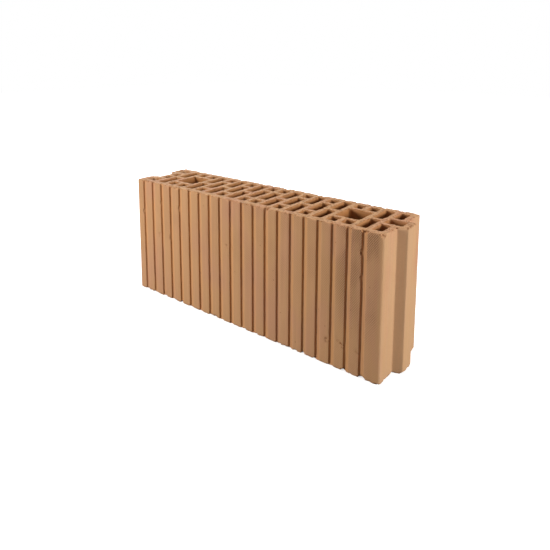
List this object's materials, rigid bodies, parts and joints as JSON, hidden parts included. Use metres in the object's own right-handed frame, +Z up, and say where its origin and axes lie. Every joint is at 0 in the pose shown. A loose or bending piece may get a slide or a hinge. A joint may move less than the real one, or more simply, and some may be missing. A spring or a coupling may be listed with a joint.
{
  "type": "perforated clay block",
  "caption": "Long fired-clay wall block with rows of vertical cells, grooved long faces, grip holes, and a tongue and a recess on its ends.",
  "frame": {"origin": "middle of the bed face, halfway between the recess end's flat face and the tongue's outer face", "axes": "+X along the block towards the tongue, +Y through the wall towards the back face, +Z up"},
  "size_m": [0.5116, 0.115, 0.208],
  "materials": {
    "clay": "matt unglazed fired clay"
  },
  "bodies": {
    "root": {"block": "clay"}
  },
  "joints": []
}
